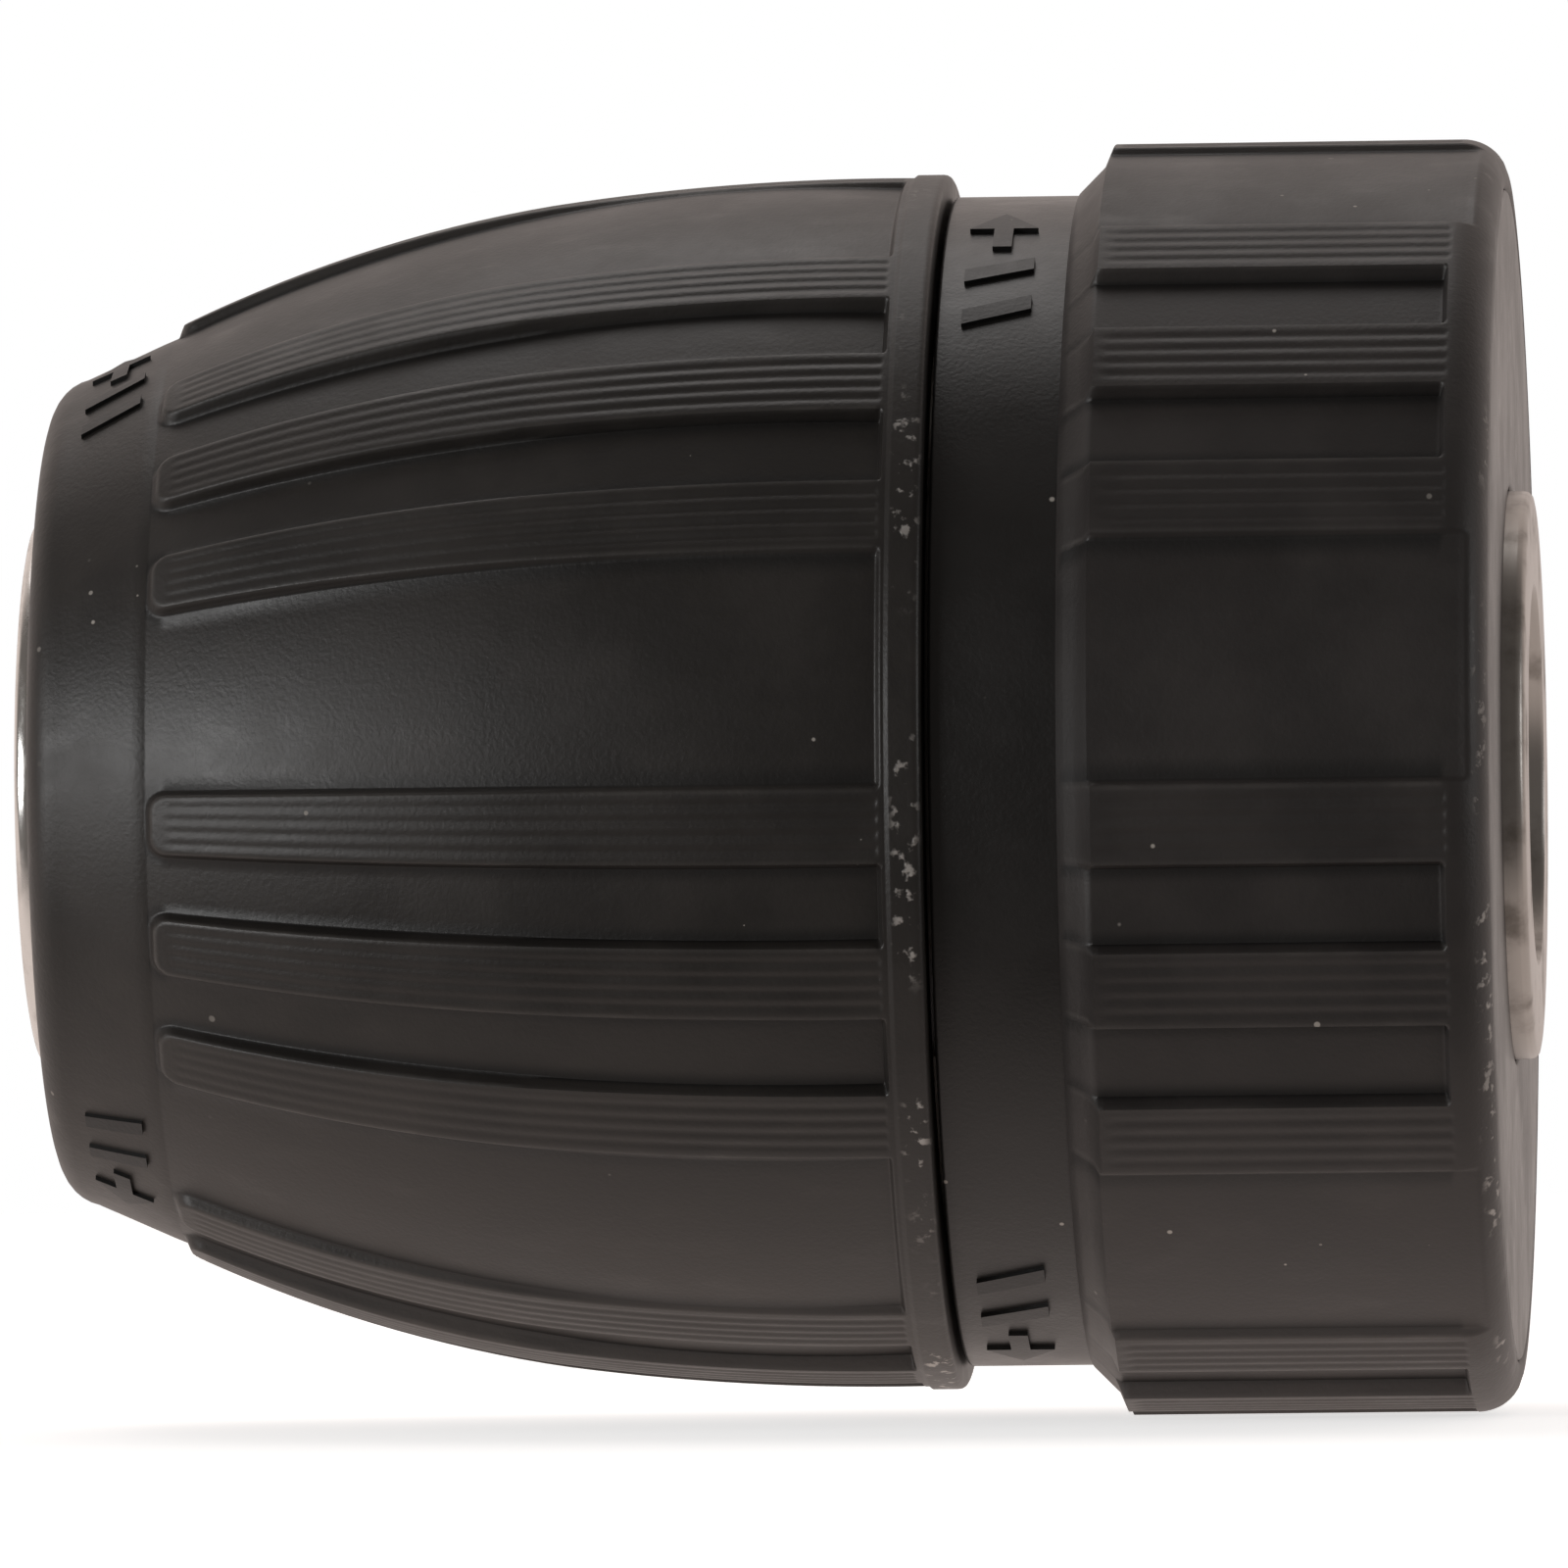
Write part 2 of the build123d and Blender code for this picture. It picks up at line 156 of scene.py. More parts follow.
class Graph:
    """The node tree of a material or a world under construction."""

    def __init__(self, name: str, owners: bpy.types.bpy_prop_collection | None = None) -> None:
        """Starts an empty tree.

        Args:
            name: the name of the material or world.
            owners: Blender's list that it joins, which is the materials if none is given.
        """
        self.owner = (bpy.data.materials if owners is None else owners).new(name)
        self.owner.use_nodes = True
        self.tree = self.owner.node_tree
        self.tree.nodes.clear()
        self.place = self.node("ShaderNodeTexCoord").outputs["Object"]

    def node(
        self,
        kind: str,
        settings: dict[str, object] | None = None,
        values: dict[str | int, object] | None = None,
    ) -> bpy.types.Node:
        """Adds a node, sets it and feeds its sockets.

        Args:
            kind: the node's type.
            settings: properties of the node, set before its sockets.
            values: what each input socket gets: a signal, an output socket or a plain value.

        Returns:
            The node.
        """
        made = self.tree.nodes.new(kind)
        for name, value in (settings or {}).items():
            setattr(made, name, value)
        for name, value in (values or {}).items():
            if isinstance(value, Signal):
                self.tree.links.new(value.socket, made.inputs[name])
            elif isinstance(value, bpy.types.NodeSocket):
                self.tree.links.new(value, made.inputs[name])
            else:
                made.inputs[name].default_value = value
        return made

    def noise(self, size: float, detail: float = 2.0, stretch: Point | None = None) -> Signal:
        """A noise between about 0 and 1.

        Args:
            size: the size of its blotches in millimetres.
            detail: how many finer layers it has.
            stretch: factors on the size along X and across it.

        Returns:
            The noise as a signal.
        """
        place: object = self.place
        if stretch:
            scale = (1 / stretch[0], 1 / stretch[1], 1 / stretch[1])
            place = self.node("ShaderNodeMapping", None, {"Vector": self.place, "Scale": scale}).outputs[0]
        values = {"Vector": place, "Scale": 1 / (size * MM), "Detail": detail, "Roughness": 0.55}
        return Signal(self, self.node("ShaderNodeTexNoise", None, values).outputs[0])

    def specks(self, spacing: float, size: float) -> Signal:
        """Small round spots, one to a cell.

        Args:
            spacing: the width of a cell in millimetres.
            size: the radius of the largest spot in millimetres.

        Returns:
            1 within a spot and 0 outside.
        """
        values = {"Vector": self.place, "Scale": 1 / (spacing * MM)}
        cells = self.node("ShaderNodeTexVoronoi", None, values)
        reach = Signal(self, cells.outputs["Distance"]) * spacing
        colours = self.node("ShaderNodeSeparateColor", None, {0: cells.outputs["Color"]})
        choice = Signal(self, colours.outputs[0])
        return (reach / (choice ** 3 * size + 0.0001)).ramp(1.0, 0.6)

    def axes(self) -> tuple[Signal, Signal]:
        """The distance along the chuck axis and out from it, in millimetres.

        Returns:
            The station and the radius.
        """
        split = self.node("ShaderNodeSeparateXYZ", None, {0: self.place}).outputs
        along, across, up = (Signal(self, socket) / MM for socket in split)
        return 0 - along, (across * across + up * up) ** 0.5

    def mix(self, factor: object, first: object, second: object) -> bpy.types.NodeSocket:
        """Mixes two colours.

        Args:
            factor: 0 gives first and 1 gives second.
            first: a colour or a colour socket.
            second: a colour or a colour socket.

        Returns:
            The mixed colour's socket.
        """
        values = {0: factor, 6: first, 7: second}
        return self.node("ShaderNodeMix", {"data_type": "RGBA"}, values).outputs[2]

    def bump(self, height: Signal, depth: float) -> bpy.types.NodeSocket:
        """Turns a height into a normal.

        Args:
            height: the height signal, from 0 to 1.
            depth: the depth of the relief in millimetres.

        Returns:
            The normal's socket.
        """
        values = {"Height": height, "Distance": depth * MM, "Strength": 1.0}
        return self.node("ShaderNodeBump", None, values).outputs[0]

    def shade(self, **values: object) -> Material:
        """Ends the graph in one principled shader.

        Args:
            values: its sockets, with underscores for the spaces in their names.

        Returns:
            The finished material.
        """
        sockets = {name.replace("_", " "): value for name, value in values.items()}
        shader = self.node("ShaderNodeBsdfPrincipled", None, sockets)
        self.node("ShaderNodeOutputMaterial", None, {"Surface": shader.outputs[0]})
        return self.owner


@dataclass(frozen=True)
class Patches:
    """Soft patches of noise, 1 inside and 0 outside."""

    size: float
    detail: float
    low: float
    high: float
    stretch: Point | None = None

    def on(self, graph: Graph) -> Signal:
        """The patches as a signal of a graph."""
        return graph.noise(self.size, self.detail, self.stretch).ramp(self.low, self.high)


def tint(red: float, green: float, blue: float) -> Colour:
    """An opaque colour."""
    return (red, green, blue, 1.0)


# -------------------------------------------------------------------- finishes


@dataclass(frozen=True)
class MouldedPlastic:
    """Black moulded plastic with a fine grain, faint scuffs and dust, painted shade in the corners at the
    feet of the grip strips' walls, and lighter strip edges that are partly rubbing wear and partly painted
    highlight.
    """

    name: str
    dark: Colour = tint(0.0115, 0.0102, 0.0092)
    pale: Colour = tint(0.0250, 0.0215, 0.0190)
    dust: Colour = tint(0.46, 0.43, 0.39)
    # painted shade: the colour of the corners at the feet of the strips' walls, where shade falls
    corner_shade: Colour = tint(0.002, 0.002, 0.002)
    # colour of rubbing wear in the chips, also laid on the strips' edges as painted highlight
    rubbed_and_highlight: Colour = tint(0.34, 0.32, 0.30)
    # how strongly the dust and the painted corner shade are laid on
    dust_and_shade_strength: float = 0.8
    # how much the strips' edges are painted lighter, partly as wear and partly as painted highlight
    edge_rub_and_highlight: float = 0.10
    roughness: float = 0.40
    grain_size: float = 0.17
    grain_depth: float = 0.012
    mottle_size: float = 0.45
    clouds: Patches = Patches(5.0, 4.0, 0.36, 0.68)
    handling: Patches = Patches(1.3, 5.0, 0.50, 0.75, (2.5, 1.0))
    dusty: Patches = Patches(9.0, 1.0, 0.42, 0.60)
    dust_spacing: float = 1.9
    dust_size: float = 0.15
    chips: Patches = Patches(0.55, 3.0, 0.56, 0.66)
    chipped: Patches = Patches(7.0, 1.0, 0.47, 0.60)
    edge_station: float = -9.0
    edge_radius: float = 0.0
    edge_width: float = 0.6

    def edge_wear(self, graph: Graph) -> Signal:
        """Chips of wear along an edge.

        Args:
            graph: the material's graph.

        Returns:
            1 in a chip and 0 outside.
        """
        station, radius = graph.axes()
        along, out = station - self.edge_station, radius - self.edge_radius
        near = ((along * along + out * out) ** 0.5).ramp(self.edge_width, self.edge_width * 0.4)
        return near * self.chips.on(graph) * self.chipped.on(graph)

    def material(self) -> Material:
        """Builds the material."""
        graph = Graph(self.name)
        clouds, handling = self.clouds.on(graph), self.handling.on(graph)
        mottle = graph.noise(self.mottle_size, 3.0)
        grain = graph.noise(self.grain_size)
        dust = graph.specks(self.dust_spacing, self.dust_size) * self.dusty.on(graph)
        wear = self.edge_wear(graph)
        skin = graph.mix(clouds * 0.55 + handling * 0.2 + mottle * 0.25, self.dark, self.pale)
        tones = graph.node("ShaderNodeAttribute", {"attribute_name": EDGE_SHADE_HIGHLIGHT_AND_WEAR})
        tone = Signal(graph, tones.outputs["Fac"])
        # Painted shade: darkens the corners at the feet of the strips' walls.
        skin = graph.mix(tone.ramp(0.0, -1.0) * self.dust_and_shade_strength, skin, self.corner_shade)
        # The strips' edges are painted lighter, partly wear and partly painted highlight; the chips are
        # wear.
        edge = tone.ramp(0.1, 1.0) * (handling * 0.6 + 0.4) * self.edge_rub_and_highlight
        worn_and_highlit = graph.mix(wear, graph.mix(edge, skin, self.rubbed_and_highlight), self.rubbed_and_highlight)
        return graph.shade(
            Base_Color=graph.mix(dust * self.dust_and_shade_strength, worn_and_highlit, self.dust),
            Roughness=self.roughness + clouds * 0.07 - handling * 0.05 + dust * 0.3 + mottle * 0.06,
            Normal=graph.bump(grain + wear * 2, self.grain_depth),
        )


@dataclass(frozen=True)
class PlainPlastic:
    """Plain moulded plastic of one colour, for the hidden pieces."""

    name: str
    colour: Colour
    roughness: float = 0.45
    grain_size: float = 0.3
    grain_depth: float = 0.006

    def material(self) -> Material:
        """Builds the material."""
        graph = Graph(self.name)
        grain = graph.noise(self.grain_size, 3.0)
        return graph.shade(
            Base_Color=self.colour,
            Roughness=self.roughness + grain * 0.1,
            Normal=graph.bump(grain, self.grain_depth),
        )


@dataclass(frozen=True)
class TurnedSteel:
    """Steel with fine rings left by the lathe and a little staining."""

    name: str
    colour: Colour
    stain: Colour
    roughness: float = 0.28
    ring_width: float = 0.2
    ring_depth: float = 0.004
    stains: Patches = Patches(2.4, 5.0, 0.48, 0.74)

    def material(self) -> Material:
        """Builds the material."""
        graph = Graph(self.name)
        station, radius = graph.axes()
        path = graph.node("ShaderNodeCombineXYZ", None, {0: station * 0.9 + radius * 1.1})
        values = {"Vector": path.outputs[0], "Scale": 1 / self.ring_width, "Detail": 3.0}
        rings = Signal(graph, graph.node("ShaderNodeTexNoise", None, values).outputs[0])
        stain = self.stains.on(graph)
        return graph.shade(
            Base_Color=graph.mix(stain * 0.7, self.colour, self.stain),
            Metallic=1.0,
            Roughness=self.roughness + rings * 0.12 + stain * 0.14,
            Normal=graph.bump(rings, self.ring_depth),
        )


@dataclass(frozen=True)
class GroundSteel:
    """Hardened steel with a fine ground surface and an even tone."""

    name: str
    colour: Colour
    roughness: float = 0.32
    shade: Colour = tint(0.16, 0.15, 0.14)
    line_size: float = 0.08
    line_stretch: Point = (14.0, 1.0)
    line_depth: float = 0.003
    clouds: Patches = Patches(3.0, 3.0, 0.35, 0.70)

    def material(self) -> Material:
        """Builds the material."""
        graph = Graph(self.name)
        lines = graph.noise(self.line_size, 3.0, self.line_stretch)
        return graph.shade(
            Base_Color=graph.mix(self.clouds.on(graph) * 0.35, self.colour, self.shade),
            Metallic=1.0,
            Roughness=self.roughness + lines * 0.12,
            Normal=graph.bump(lines, self.line_depth),
        )


@dataclass(frozen=True)
class BrightPlating:
    """Bright plated metal with light rubbing."""

    name: str = "bright_plating"
    colour: Colour = tint(0.72, 0.71, 0.69)
    dulled: Colour = tint(0.46, 0.44, 0.42)
    roughness: float = 0.16
    rubs: Patches = Patches(0.7, 5.0, 0.45, 0.72, (0.6, 2.0))
    rub_depth: float = 0.003

    def material(self) -> Material:
        """Builds the material."""
        graph = Graph(self.name)
        rub = self.rubs.on(graph)
        return graph.shade(
            Base_Color=graph.mix(rub * 0.5, self.colour, self.dulled),
            Metallic=1.0,
            Roughness=self.roughness + rub * 0.18,
            Normal=graph.bump(rub, self.rub_depth),
        )


def made(finish: object) -> Material:
    """A field that holds a finish's material, built with its class."""
    return field(default_factory=finish.material)


@dataclass
class Finishes:
    """Every finish of the chuck, made once."""

    sleeve: Material = made(MouldedPlastic("sleeve_plastic", edge_station=20.1, edge_radius=20.5))
    # The collar is darker than the ring, partly its own smoother plastic and partly painted shade from the
    # sleeve and the ring round it.
    collar: Material = made(
        MouldedPlastic(
            "collar_plastic_and_painted_shade", tint(0.0060, 0.0056, 0.0052), tint(0.0115, 0.0104, 0.0098), roughness=0.33
        )
    )
    ring: Material = made(
        MouldedPlastic(
            "ring_plastic",
            tint(0.0170, 0.0150, 0.0145),
            tint(0.0330, 0.0285, 0.0265),
            roughness=0.44,
            dust_spacing=1.3,
            edge_station=1.2,
            edge_radius=20.7,
        )
    )
    # The signs are darker than the sleeve: painted shade standing in for the shade along their moulded
    # edges.
    mark: Material = made(
        MouldedPlastic("mark_plastic_painted_shade", tint(0.003, 0.003, 0.003), tint(0.005, 0.005, 0.005))
    )
    body: Material = made(
        TurnedSteel("turned_body_steel", tint(0.36, 0.34, 0.32), tint(0.10, 0.085, 0.07))
    )
    jaw: Material = made(GroundSteel("jaw_steel", tint(0.33, 0.33, 0.34)))
    bearing: Material = made(GroundSteel("bearing_steel", tint(0.48, 0.48, 0.48), 0.22))
    spring: Material = made(GroundSteel("spring_steel", tint(0.24, 0.26, 0.31), 0.26))
    pressed: Material = made(
        TurnedSteel("pressed_steel", tint(0.52, 0.50, 0.45), tint(0.34, 0.31, 0.26), 0.32)
    )
    bright: Material = made(BrightPlating())
    washer: Material = made(PlainPlastic("washer_plastic", tint(0.70, 0.69, 0.64)))
    cage: Material = made(PlainPlastic("cage_plastic", tint(0.46, 0.39, 0.24)))


# -------------------------------------------------------------------- geometry


def ease(value: float, low: float, high: float) -> float:
    """Rises smoothly from 0 at low to 1 at high.

    Args:
        value: the value to ease.
        low: where the result leaves 0.
        high: where the result reaches 1.

    Returns:
        A number from 0 to 1.
    """
    share = min(max((value - low) / (high - low), 0.0), 1.0)
    return share * share * (3 - 2 * share)


def spread(start: float, end: float, count: int) -> list[float]:
    """Evenly spaced numbers from start to end, both included.

    Args:
        start: the first number.
        end: the last number.
        count: how many steps there are.

    Returns:
        count + 1 numbers.
    """
    return [start + (end - start) * step / count for step in range(count + 1)]


def corner(before: Point, at: Point, after: Point, size: float, steps: int = 3) -> list[Point]:
    """Rounds a corner of an outline.

    Args:
        before: the outline's point before the corner.
        at: the corner.
        after: the outline's point after the corner.
        size: how far along each side the rounding starts.
        steps: how many segments it has.

    Returns:
        The points that replace the corner.
    """
    centre = Vector(at)
    first = centre + (Vector(before) - centre).normalized() * size
    last = centre + (Vector(after) - centre).normalized() * size
    points = []
    for share in spread(0.0, 1.0, steps):
        near, far = first.lerp(centre, share), centre.lerp(last, share)
        points.append(tuple(near.lerp(far, share)))
    return points


def rounded(outline: list[Point], sizes: dict[int, float]) -> list[Point]:
    """Rounds chosen corners of a closed outline.

    Args:
        outline: its corners in order.
        sizes: the size of the rounding at each chosen corner, by its index.

    Returns:
        The outline with its rounded corners.
    """
    points: list[Point] = []
    for index, at in enumerate(outline):
        after = outline[(index + 1) % len(outline)]
        if index in sizes:
            points.extend(corner(outline[index - 1], at, after, sizes[index]))
        else:
            points.append(at)
    return points


@dataclass(frozen=True)
class Curve:
    """An outward-bulging arc through three points of (station, radius)."""

    first: Point
    middle: Point
    last: Point

    @lru_cache(maxsize=None)
    def centre(self) -> Place:
        """The circle through the three points.

        Returns:
            Its centre's station and radius, and its own radius.
        """
        (ax, ay), (bx, by), (cx, cy) = self.first, self.middle, self.last
        turn = 2 * (ax * (by - cy) + bx * (cy - ay) + cx * (ay - by))
        a, b, c = ax * ax + ay * ay, bx * bx + by * by, cx * cx + cy * cy
        x = (a * (by - cy) + b * (cy - ay) + c * (ay - by)) / turn
        y = (a * (cx - bx) + b * (ax - cx) + c * (bx - ax)) / turn
        return x, y, math.hypot(ax - x, ay - y)

    @lru_cache(maxsize=None)
    def at(self, station: float) -> float:
        """The radius at a station."""
        x, y, size = self.centre()
        return y + math.sqrt(max(size * size - (station - x) ** 2, 0.0))


def everything(bm: Mesh) -> list:
    """All vertices, edges and faces of a mesh."""
    return bm.verts[:] + bm.edges[:] + bm.faces[:]


def face_outward(bm: Mesh) -> None:
    """Turns every face of a closed mesh outward.

    Args:
        bm: the mesh.
    """
    bmesh.ops.recalc_face_normals(bm, faces=bm.faces)
    if bm.calc_volume(signed=True) < 0:
        bmesh.ops.reverse_faces(bm, faces=bm.faces)


def spread_all(runs: tuple[Run, ...]) -> list[float]:
    """The numbers of several evenly spaced runs, one after another."""
    return [number for run in runs for number in spread(*run)]


def outline_mesh(outline: list[Point]) -> tuple[Mesh, list]:
    """Starts a mesh with a closed outline on the camera's side of the axis.

    Args:
        outline: points of (station, radius) in order.

    Returns:
        The mesh, and the outline's vertices and edges.
    """
    bm = bmesh.new()
    verts = [bm.verts.new((-station, -radius, 0.0)) for station, radius in outline]
    edges = [bm.edges.new((verts[index - 1], vert)) for index, vert in enumerate(verts)]
    return bm, verts + edges


def lathe(outline: list[Point], steps: int = 128) -> Mesh:
    """Turns a closed outline round the chuck axis.

    Args:
        outline: points of (station, radius) in order.
        steps: how many segments the turn has.

    Returns:
        A closed mesh.
    """
    bm, geom = outline_mesh(outline)
    bmesh.ops.spin(bm, geom=geom, cent=CENTRE, axis=AXIS, angle=math.tau, steps=steps, use_merge=True)
    face_outward(bm)
    return bm


def lathe_in_runs(
    outline: list[Point], first_angle: float, runs: list[tuple[float, int]]
) -> Mesh:
    """Turns a closed outline round the chuck axis, with finer steps in some runs.

    Args:
        outline: points of (station, radius) in order.
        first_angle: the angle where the first run starts.
        runs: the arc and the number of steps of each run, which together make a full turn.

    Returns:
        A closed mesh.
    """
    bm, geom = outline_mesh(outline)
    first = bm.verts[:]
    start = Matrix.Rotation(math.radians(first_angle), 3, "X")
    bmesh.ops.rotate(bm, verts=bm.verts, cent=CENTRE, matrix=start)
    for arc, steps in runs:
        turn = math.radians(arc)
        turned = bmesh.ops.spin(bm, geom=geom, cent=CENTRE, axis=AXIS, angle=turn, steps=steps)
        geom = turned["geom_last"]
    last = [item for item in geom if isinstance(item, bmesh.types.BMVert)]
    bmesh.ops.remove_doubles(bm, verts=first + last, dist=WELD_DISTANCE)
    face_outward(bm)
    return bm


def finish_piece(
    bm: Mesh,
    name: str,
    body: Body,
    material: Material,
    nodes: tuple[str, ...] = (),
    crease: float = 38.0,
) -> None:
    """Turns a mesh in millimetres into a piece that rides on its body.

    Args:
        bm: the mesh, which is freed.
        name: the piece's name.
        body: the body that it rides on.
        material: its finish.
        nodes: the CAD nodes that it stands for.
        crease: the angle beyond which an edge stays sharp.
    """
    bmesh.ops.scale(bm, verts=bm.verts, vec=(MM, MM, MM))
    mesh = bpy.data.meshes.new(name)
    bm.to_mesh(mesh)
    bm.free()
    mesh.shade_smooth()
    mesh.set_sharp_from_angle(angle=math.radians(crease))
    mesh.materials.append(material)
    piece = bpy.data.objects.new(name, mesh)
    bpy.context.scene.collection.objects.link(piece)
    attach(piece, body.value)
    if nodes:
        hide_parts(*nodes)
    LOG.info("%s: %d faces on %s", name, len(mesh.polygons), body.value)


# ---------------------------------------------------------------- grip pattern


@dataclass(frozen=True)
class GripPattern:
    """Repeats round the grip: a land, then three fine-lined strips with two scoops between."""

    repeats: int = 6
    first_angle: float = -22.2
    land_arc: float = 22.5
    strip_arc: float = 7.5
    line_pitch: float = 1.45
    line_count: int = 4
    line_depth: float = 0.05
    line_sharpness: float = 1.4
    steps_per_line: int = 6
    wall_arc: float = 0.9
    wall_steps: int = 5
    scoop_steps: int = 5
    land_steps: int = 10
    wall_half_width: float = 0.12
    # Widths of the lighter strip edge, partly wear and partly painted highlight, and of the painted corner
    # shade at a wall's foot.
    rubbed_highlight_width: float = 0.13
    corner_shade_start: Point = (0.0, 0.1)
    corner_shade_end: Point = (0.15, 0.6)
    tone_run: float = 0.3
    corner_radius: float = 0.6

    @property
    def period(self) -> float:
        """The arc of one repeat."""
        return 360.0 / self.repeats

    def runs(self) -> list[tuple[float, int]]:
        """Arcs and steps for the turn, from the start of the first land.

        Returns:
            The runs of a full turn, finest on the strips' walls and lines.
        """
        lines = self.line_pitch * self.line_count
        half_wall = self.wall_arc / 2
        margin = (self.strip_arc - lines) / 2 - half_wall
        wall = (self.wall_arc, self.wall_steps)
        lined = (lines, self.steps_per_line * self.line_count)
        strip = [wall, (margin, 1), lined, (margin, 1), wall]
        scoop = [(self.strip_arc - self.wall_arc, self.scoop_steps)]
        land = [(self.land_arc - self.wall_arc, self.land_steps)]
        first_steps = self.wall_steps // 2
        repeat = land + strip + scoop + strip + scoop + strip
        runs = [(half_wall, first_steps)] + repeat * self.repeats
        runs[-1] = (half_wall, self.wall_steps - first_steps)
        return runs

    def local(self, angle: float) -> float:
        """The angle within its repeat, from the start of the land."""
        return (angle - self.first_angle) % self.period

    def strip_offset(self, angle: float) -> float:
        """The signed angle from the middle of the nearest strip."""
        place = self.local(angle)
        first = self.land_arc + self.strip_arc / 2
        middles = [first + 2 * self.strip_arc * index for index in range(3)]
        middles += [middles[-1] - self.period]
        return min((place - middle for middle in middles), key=abs)

    def scoop_share(self, angle: float) -> float:
        """1 between the outer strips' middles, where the floor is a scoop's, and 0 beyond."""
        place = self.local(angle)
        first = self.land_arc + self.strip_arc / 2
        last = first + 4 * self.strip_arc
        blend = self.strip_arc / 4
        return ease(place, first - blend, first + blend) * (1 - ease(place, last - blend, last + blend))

    def strip_distance(self, angle: float, station: float, radius: float, front_end: float) -> float:
        """The distance from the outline of the nearest strip.

        Args:
            angle: the point's angle.
            station: the point's station.
            radius: the grip's radius there.
            front_end: the station where the strips end in rounded corners.

        Returns:
            Millimetres, below 0 on the strip.
        """
        across = math.radians(abs(self.strip_offset(angle))) * radius
        half = math.radians(self.strip_arc / 2) * radius
        past_side = across - half + self.corner_radius
        past_end = station - front_end + self.corner_radius
        outside = math.hypot(max(past_side, 0.0), max(past_end, 0.0))
        return outside + min(max(past_side, past_end), 0.0) - self.corner_radius

    def strip_share(self, distance: float) -> float:
        """1 on a strip, 0 beside it, and between them on its wall."""
        return 1 - ease(distance, -self.wall_half_width, self.wall_half_width)

    def edge_shade_highlight_and_wear(self, distance: float, station: float, rear: float) -> float:
        """Wear with painted highlight on a strip's edge, and painted shade in the corner at the foot of its
        wall.

        Args:
            distance: the distance from the strip's outline.
            station: the point's station.
            rear: the station where the tone begins.

        Returns:
            Up to 1 on the lighter edge, down to -1 in the shaded corner and 0 elsewhere.
        """
        # The lighter edge is partly wear and partly painted highlight; the darker corner is painted shade.
        rubbed_and_highlight = max(1 - abs(distance + self.rubbed_highlight_width) / self.rubbed_highlight_width, 0.0)
        painted_corner_shade = ease(distance, *self.corner_shade_start) * (1 - ease(distance, *self.corner_shade_end))
        return (rubbed_and_highlight - painted_corner_shade) * ease(station, rear, rear + self.tone_run)

    def line_relief(self, angle: float) -> float:
        """The depth of the fine lines at an angle."""
        offset = self.strip_offset(angle)
        if abs(offset) > self.line_pitch * self.line_count / 2:
            return 0.0
        wave = 0.5 - 0.5 * math.cos(math.tau * offset / self.line_pitch)
        return self.line_depth * wave ** self.line_sharpness


def press_relief(bm: Mesh, rule: Callable[[float, float, float], Point]) -> None:
    """Moves each vertex in or out to the radius that a rule gives it, and notes its edge tone of painted
    shade, painted highlight and wear.

    Args:
        bm: the mesh, in millimetres.
        rule: gives a new radius and an edge tone from the angle, station and present radius.
    """
    # The layer carries the painted corner shade and the lighter edges, partly wear and partly painted
    # highlight.
    tones = bm.verts.layers.float.new(EDGE_SHADE_HIGHLIGHT_AND_WEAR)
    for vert in bm.verts:
        radius = math.hypot(vert.co.y, vert.co.z)
        angle = math.degrees(math.atan2(-vert.co.z, -vert.co.y))
        pressed, vert[tones] = rule(angle, -vert.co.x, radius)
        vert.co.y *= pressed / radius
        vert.co.z *= pressed / radius
    face_outward(bm)


# ---------------------------------------------------------------- sub-assemblies


